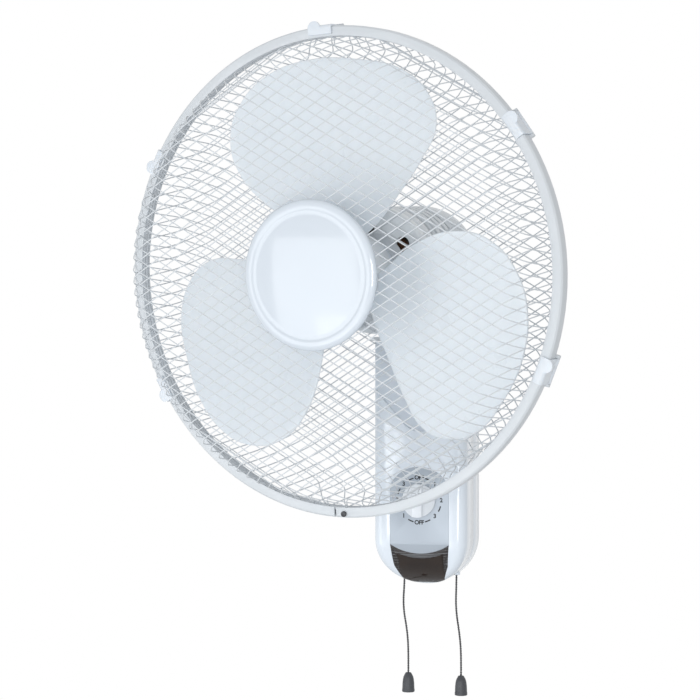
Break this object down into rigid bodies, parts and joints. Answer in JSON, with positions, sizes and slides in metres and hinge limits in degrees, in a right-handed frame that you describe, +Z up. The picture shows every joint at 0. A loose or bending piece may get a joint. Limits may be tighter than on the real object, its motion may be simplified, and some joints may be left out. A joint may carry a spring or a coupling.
{
  "type": "wall mounted fan",
  "caption": "Wall fan with a caged propeller on a turning, tilting head, over a slim column with a dial, a smoked window and two pull cords.",
  "frame": {"origin": "on the wall, at the middle of the wall bracket's four screw holes", "axes": "+Z up, -Y out of the wall towards the room, +X to the right seen from the room"},
  "size_m": [0.4171, 0.3095, 0.6138],
  "materials": {
    "shell_white": "glossy moulded ABS, cool white",
    "panel_grey": "satin silver grey",
    "smoked_glass": "smoked clear acrylic",
    "dial_white": "glossy white",
    "ring_white": "glossy moulded ring",
    "guard_wire": "white powder-coated wire",
    "blade_white": "slightly translucent blade plastic",
    "badge_white": "high gloss disc",
    "clip_white": "glossy clip",
    "housing_white": "glossy motor housing",
    "cord_grey": "twisted cord",
    "bell_grey": "grey bell",
    "steel": "bright steel",
    "screw_dark": "blackened screw",
    "bracket_zinc": "galvanised sheet",
    "copper": "enamelled copper winding",
    "lamination": "stacked laminations",
    "bronze": "sintered bronze bearing",
    "inner_black": "black nylon",
    "inner_grey": "grey nylon",
    "rubber_black": "soft black rubber"
  },
  "bodies": {
    "column": {"wall_bracket": "bracket_zinc", "rear_shell": "shell_white", "front_shell": "shell_white", "control_panel": "panel_grey", "smoked_window": "smoked_glass", "speed_switch": "inner_black", "swing_switch": "inner_black", "cord_eyelets": "shell_white", "swing_motor": "steel", "pivot_block": "inner_grey", "shell_screws": "steel", "bracket_screw": "steel", "run_capacitor": "inner_black", "terminal_block": "inner_grey", "cable_inlet": "rubber_black", "thrust_washer": "inner_grey"},
    "dial": {"speed_knob": "dial_white", "switch_spindle": "inner_grey"},
    "speed_crank": {"speed_lever": "inner_grey"},
    "swing_crank_lever": {"swing_lever": "inner_grey"},
    "speed_pull": {"speed_cord": "cord_grey", "speed_bell": "bell_grey"},
    "swing_pull": {"swing_cord": "cord_grey", "swing_bell": "bell_grey"},
    "crank": {"swing_crank": "inner_grey"},
    "link": {"swing_link": "steel"},
    "neck": {"neck": "housing_white", "swing_arm": "steel", "retaining_ring": "steel", "tilt_bolt": "steel", "tilt_nut": "housing_white"},
    "head": {"tilt_yoke": "bracket_zinc", "rear_bracket": "bracket_zinc", "stator_core": "lamination", "windings": "copper", "motor_front": "housing_white", "front_bearing": "bronze", "rear_bearing": "bronze", "motor_cover": "housing_white", "cover_screw": "steel", "motor_bolts": "steel", "rear_guard": "guard_wire", "guard_nut": "shell_white", "guard_ring": "ring_white", "ring_screw": "screw_dark", "ring_nut": "steel", "front_guard": "guard_wire", "badge": "badge_white", "badge_back": "shell_white", "badge_screws": "steel"},
    "rotor": {"motor_shaft": "steel", "rotor_core": "lamination", "drive_pin": "steel", "propeller": "blade_white", "spinner_nut": "shell_white"},
    "clip_1": {"guard_clip_1": "clip_white"},
    "clip_2": {"guard_clip_2": "clip_white"},
    "clip_3": {"guard_clip_3": "clip_white"},
    "clip_4": {"guard_clip_4": "clip_white"},
    "clip_5": {"guard_clip_5": "clip_white"}
  },
  "joints": [
    {"name": "swing", "type": "hinge", "parent": "column", "child": "neck", "pos_m": [0, -0.052, 0.076], "axis": [0, 0, 1], "range_deg": [-24.6, 55.4]},
    {"name": "tilt", "type": "hinge", "parent": "neck", "child": "head", "pos_m": [0, -0.052, 0.086], "axis": [-0.9641, 0.2656, 0], "range_deg": [-10, 14]},
    {"name": "blade_spin", "type": "hinge", "parent": "head", "child": "rotor", "pos_m": [-0.04387, -0.21128, 0.13174], "axis": [-0.2649, -0.9619, -0.068], "continuous": true},
    {"name": "crank_turn", "type": "hinge", "parent": "column", "child": "crank", "pos_m": [0.026, -0.038, 0.045], "axis": [0, 0, 1], "range_deg": [-40, 90]},
    {"name": "link_turn", "type": "hinge", "parent": "crank", "child": "link", "pos_m": [0.02799, -0.02931, 0.0465], "axis": [0, 0, 1], "range_deg": [-95, 45]},
    {"name": "dial_turn", "type": "hinge", "parent": "column", "child": "dial", "pos_m": [0, -0.084, -0.0751], "axis": [0, -1, 0], "continuous": true},
    {"name": "speed_cord_pull", "type": "slide", "parent": "column", "child": "speed_pull", "axis": [0, 0, -1], "range_m": [0, 0.01], "stiffness_N_per_m": 60, "springref_m": -0.002},
    {"name": "swing_cord_pull", "type": "slide", "parent": "column", "child": "swing_pull", "axis": [0, 0, -1], "range_m": [0, 0.01], "stiffness_N_per_m": 60, "springref_m": -0.002},
    {"name": "speed_lever_turn", "type": "hinge", "parent": "column", "child": "speed_crank", "pos_m": [-0.0052, -0.033, -0.126], "axis": [0, -1, 0], "range_deg": [0, 34]},
    {"name": "swing_lever_turn", "type": "hinge", "parent": "column", "child": "swing_crank_lever", "pos_m": [0.0052, -0.033, -0.126], "axis": [0, 1, 0], "range_deg": [0, 34]},
    {"name": "clip_1_open", "type": "hinge", "parent": "head", "child": "clip_1", "pos_m": [0.15007, -0.24894, 0.04692], "axis": [0.3679, -0.166, 0.9149], "range_deg": [0, 75]},
    {"name": "clip_2_open", "type": "hinge", "parent": "head", "child": "clip_2", "pos_m": [0.12709, -0.25723, 0.25376], "axis": [-0.561, 0.0964, 0.8222], "range_deg": [0, 75]},
    {"name": "clip_3_open", "type": "hinge", "parent": "head", "child": "clip_3", "pos_m": [-0.05249, -0.21433, 0.34655], "axis": [-0.9629, 0.2677, -0.0348], "range_deg": [0, 75]},
    {"name": "clip_4_open", "type": "hinge", "parent": "head", "child": "clip_4", "pos_m": [-0.22353, -0.15953, 0.2379], "axis": [-0.459, 0.1878, -0.8683], "range_deg": [0, 75]},
    {"name": "clip_5_open", "type": "hinge", "parent": "head", "child": "clip_5", "pos_m": [-0.22063, -0.14552, 0.02848], "axis": [0.4832, -0.0714, -0.8726], "range_deg": [0, 75]}
  ],
  "couplings": [
    {"joint": "crank_turn", "follows": "swing", "ratio": 1.54},
    {"joint": "link_turn", "follows": "swing", "ratio": -1.646},
    {"joint": "speed_lever_turn", "follows": "speed_cord_pull", "rad_per_m": 50},
    {"joint": "swing_lever_turn", "follows": "swing_cord_pull", "rad_per_m": 50}
  ]
}
